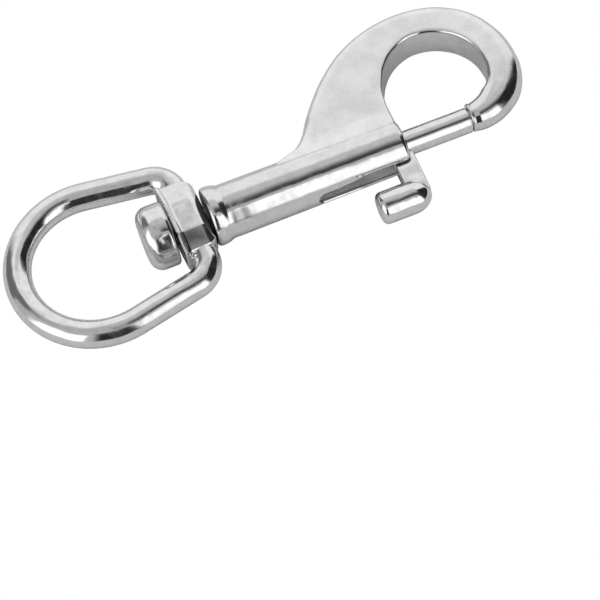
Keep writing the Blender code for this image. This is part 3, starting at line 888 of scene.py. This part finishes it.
# The side towards the barrel is rounded over instead
hub_sections = list(lip_sections)
hub_sections += [
    (half_hub - HUB_ROUND + HUB_ROUND * math.sin(t), 0.7 * HUB_ROUND * (math.cos(t) - 1.0))
    for t in (0.0, 0.3, 0.55, 0.8, 1.05, 1.3, 1.5)
]
hub = lofted(
    "hub_form",
    [
        [
            (hub_x + x - (HUB_REAR_SLANT * max(y - HUB_SLANT_FROM, 0.0) if x < 0 else 0.0), y, z)
            for y, z in hub_outline(grow, 0.65 if x < 0 else 1.0)
        ]
        for x, grow in hub_sections
    ],
)
hub_bore = [
    (hub_x - half_hub - 1, 0.0),
    (hub_x - half_hub - 1, POST_RADIUS + CLEAR),
    (hub_x + half_hub + 1, POST_RADIUS + CLEAR),
    (hub_x + half_hub + 1, 0.0),
]
combine(swivel_eye, hub, "UNION")
combine(swivel_eye, turned("hub_bore_form", hub_bore, sides=64), "DIFFERENCE")
hub_place = Matrix.Translation(bench + Vector((hub_x * MM, 0.0, 0.0)))
tilt = Matrix.Rotation(math.radians(EYE_LEAN), 4, "Z")
swivel_eye.data.transform(hub_place @ tilt @ hub_place.inverted())
buffed(swivel_eye, 25.0)
swivel_eye.data.materials.clear()
hub_rear = bench.x + (hub_x - half_hub) * MM
swivel_eye.data.materials.append(
    polished_steel("polished_eye", 150.0, 0.4, haze=0.14, flats_from=hub_rear)
)
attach(swivel_eye, "eye_set")
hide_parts("eye")

# --- Table and studio -----------------------------------------------------------------
# A plain white table under the snap, soft boxes to its left, right, front and rear, and dark
# flags between and above them that draw the dark lines along the polished steel.
FLOOR_SIDE = 4.0
FLOOR_DROP = 0.1
PANEL_STEPS = 40
CARD_STEPS = 24
CEILING = 1.3


def glowing_cloth(name, glow):
    """A panel's cloth: it glows this much and thins out towards its edges."""
    made = bpy.data.materials.new(name)
    made.use_nodes = True
    tree = made.node_tree
    tree.nodes.clear()
    light = tree.nodes.new("ShaderNodeEmission")
    light.inputs["Strength"].default_value = glow
    clear = tree.nodes.new("ShaderNodeBsdfTransparent")
    cover = tree.nodes.new("ShaderNodeAttribute")
    cover.attribute_name = "cover"
    choice = tree.nodes.new("ShaderNodeMixShader")
    tree.links.new(cover.outputs["Fac"], choice.inputs[0])
    tree.links.new(clear.outputs[0], choice.inputs[1])
    tree.links.new(light.outputs[0], choice.inputs[2])
    out = tree.nodes.new("ShaderNodeOutputMaterial")
    tree.links.new(choice.outputs[0], out.inputs["Surface"])
    return made


def eased(share):
    share = min(max(share, 0.0), 1.0)
    return share * share * (3 - 2 * share)


def hang_panel(name, first, second, glow, fade, steps, placed):
    """Hangs a panel that lights and reflects but is never seen itself.

    First and second are its (low, high) ranges, placed turns a pair of them into a point, and
    fade is how far the panel takes to thin out at each of its four edges.
    """
    bm = bmesh.new()
    layer = bm.verts.layers.float.new("cover")
    grid = []
    for i in range(steps + 1):
        u = first[0] + (first[1] - first[0]) * i / steps
        line = []
        for k in range(steps + 1):
            v = second[0] + (second[1] - second[0]) * k / steps
            vertex = bm.verts.new(placed(u, v))
            margins = (u - first[0], first[1] - u, v - second[0], second[1] - v)
            cover = 1.0
            for margin, wide in zip(margins, fade):
                cover *= eased(margin / wide)
            vertex[layer] = cover
            line.append(vertex)
        grid.append(line)
    for one, two in zip(grid, grid[1:]):
        for k in range(steps):
            bm.faces.new((one[k], two[k], two[k + 1], one[k + 1]))
    mesh = bpy.data.meshes.new(name)
    bm.to_mesh(mesh)
    bm.free()
    made = bpy.data.objects.new(name, mesh)
    bpy.context.scene.collection.objects.link(made)
    made.data.materials.append(glowing_cloth(name, glow))
    made.visible_camera = False
    made.visible_diffuse = False
    made.visible_shadow = False


def studio_panel(name, turn, rise, glow, fade, reach):
    """A curved panel round the snap, this far away in metres.

    Turn is measured from +Y towards +X and rise from the table; both and fade are in degrees.
    """

    def placed(angle, height):
        t, h = math.radians(angle), math.radians(height)
        return reach * math.sin(t) * math.cos(h), reach * math.cos(t) * math.cos(h), reach * math.sin(h)

    hang_panel(name, turn, rise, glow, fade, PANEL_STEPS, placed)


def ceiling_panel(name, along, across, glow, fade, height):
    """A level panel above the snap; along X, across Y and fade are shares of its height."""
    hang_panel(
        name, along, across, glow, fade, PANEL_STEPS, lambda x, y: (x * height, y * height, height)
    )


def ring_flag(name, along, rise, glow, fade, place_y):
    """A small upright card close in front of the ring; everything in millimetres."""
    hang_panel(name, along, rise, glow, fade, CARD_STEPS, lambda x, z: (x * MM, place_y * MM, z * MM))


studio_panel("soft_box_left", (-143, -86), (-1, 53), 1.5, (5, 10, 1, 13), 1.60)
studio_panel("soft_box_right", (130, 162), (-1, 50), 1.5, (8, 8, 1, 10), 1.63)
studio_panel("soft_box_front", (154, 179), (-1, 54), 1.35, (8, 2, 14, 2), 1.62)
studio_panel("soft_box_rear", (-30, 72), (-1, 72), 0.95, (10, 10, 1, 16), 1.64)
studio_panel("flag_right", (64, 135), (-1, 72), 0.02, (10, 8, 1, 12), 1.56)
studio_panel("flag_front", (177, 212), (-1, 62), 0.015, (2, 12, 1, 6), 1.58)
studio_panel("flag_left", (-70, -28), (-1, 66), 0.16, (8, 8, 1, 10), 1.54)
ceiling_panel("flag_above", (-0.02, 1.7), (-0.49, 0.2), 0.05, (0.08, 0.3, 0.06, 0.5), CEILING)
ceiling_panel("grey_cloth_above", (-0.05, 1.7), (-0.3, 0.75), 0.6, (0.12, 0.3, 0.1, 0.4), 1.34)
ring_flag("flag_by_ring", (-90, 9), (4, 210), 0.03, (20, 13, 8, 40), -160)

floor_mesh = bpy.data.meshes.new("table_top")
half_side = FLOOR_SIDE / 2
floor_mesh.from_pydata(
    [
        (-half_side, -half_side, 0),
        (half_side, -half_side, 0),
        (half_side, half_side, 0),
        (-half_side, half_side, 0),
    ],
    [],
    [(0, 1, 2, 3)],
)
table_top = bpy.data.objects.new("table_top", floor_mesh)
bpy.context.scene.collection.objects.link(table_top)
table_top.location.z = frame_box[0][2] - FLOOR_DROP * MM
white = bpy.data.materials.new("white_table")
white.use_nodes = True
tree = white.node_tree
tree.nodes.clear()
paper = tree.nodes.new("ShaderNodeBsdfDiffuse")
paper.inputs["Color"].default_value = (0.6, 0.6, 0.6, 1.0)
bright = tree.nodes.new("ShaderNodeEmission")
bright.inputs["Strength"].default_value = 1.0
path = tree.nodes.new("ShaderNodeLightPath")
choice = tree.nodes.new("ShaderNodeMixShader")
tree.links.new(path.outputs["Is Camera Ray"], choice.inputs[0])
tree.links.new(paper.outputs[0], choice.inputs[1])
tree.links.new(bright.outputs[0], choice.inputs[2])
out = tree.nodes.new("ShaderNodeOutputMaterial")
tree.links.new(choice.outputs[0], out.inputs["Surface"])
floor_mesh.materials.append(white)

sky = bpy.data.worlds.new("studio_air")
sky.use_nodes = True
sky.node_tree.nodes["Background"].inputs["Color"].default_value = (1.0, 1.0, 1.0, 1.0)
sky.node_tree.nodes["Background"].inputs["Strength"].default_value = 0.5
bpy.context.scene.world = sky
bpy.context.scene.view_settings.view_transform = "Standard"

overhead = bpy.data.lights.new("overhead_soft_light", "AREA")
overhead.shape = "RECTANGLE"
overhead.size = 1.6
overhead.size_y = 1.2
overhead.energy = 12.0
lamp = bpy.data.objects.new("overhead_soft_light", overhead)
lamp.location = (0.0, 0.3, 1.3)
lamp.visible_camera = False
lamp.visible_glossy = False
bpy.context.scene.collection.objects.link(lamp)

# --- Camera ---------------------------------------------------------------------------
# A long lens above the front left of the snap, turned so that the barrel climbs to the right.
CAMERA_PLACE = (-59.7, -299.9, 493.6)
CAMERA_RIGHT = Vector((0.9296, -0.3572, -0.0907))
CAMERA_BACK = Vector((-0.0998, -0.4809, 0.8711))

back = CAMERA_BACK.normalized()
right = (CAMERA_RIGHT - back * CAMERA_RIGHT.dot(back)).normalized()
lens = bpy.data.cameras.new("camera")
lens.sensor_width = 36.0
lens.lens = 162.8
lens.clip_start = 0.01
camera = bpy.data.objects.new("camera", lens)
axes = Matrix((right, back.cross(right), back)).transposed()
camera.matrix_world = Matrix.Translation(Vector(CAMERA_PLACE) * MM) @ axes.to_4x4()
bpy.context.scene.collection.objects.link(camera)
bpy.context.scene.camera = camera

bpy.context.view_layer.update()
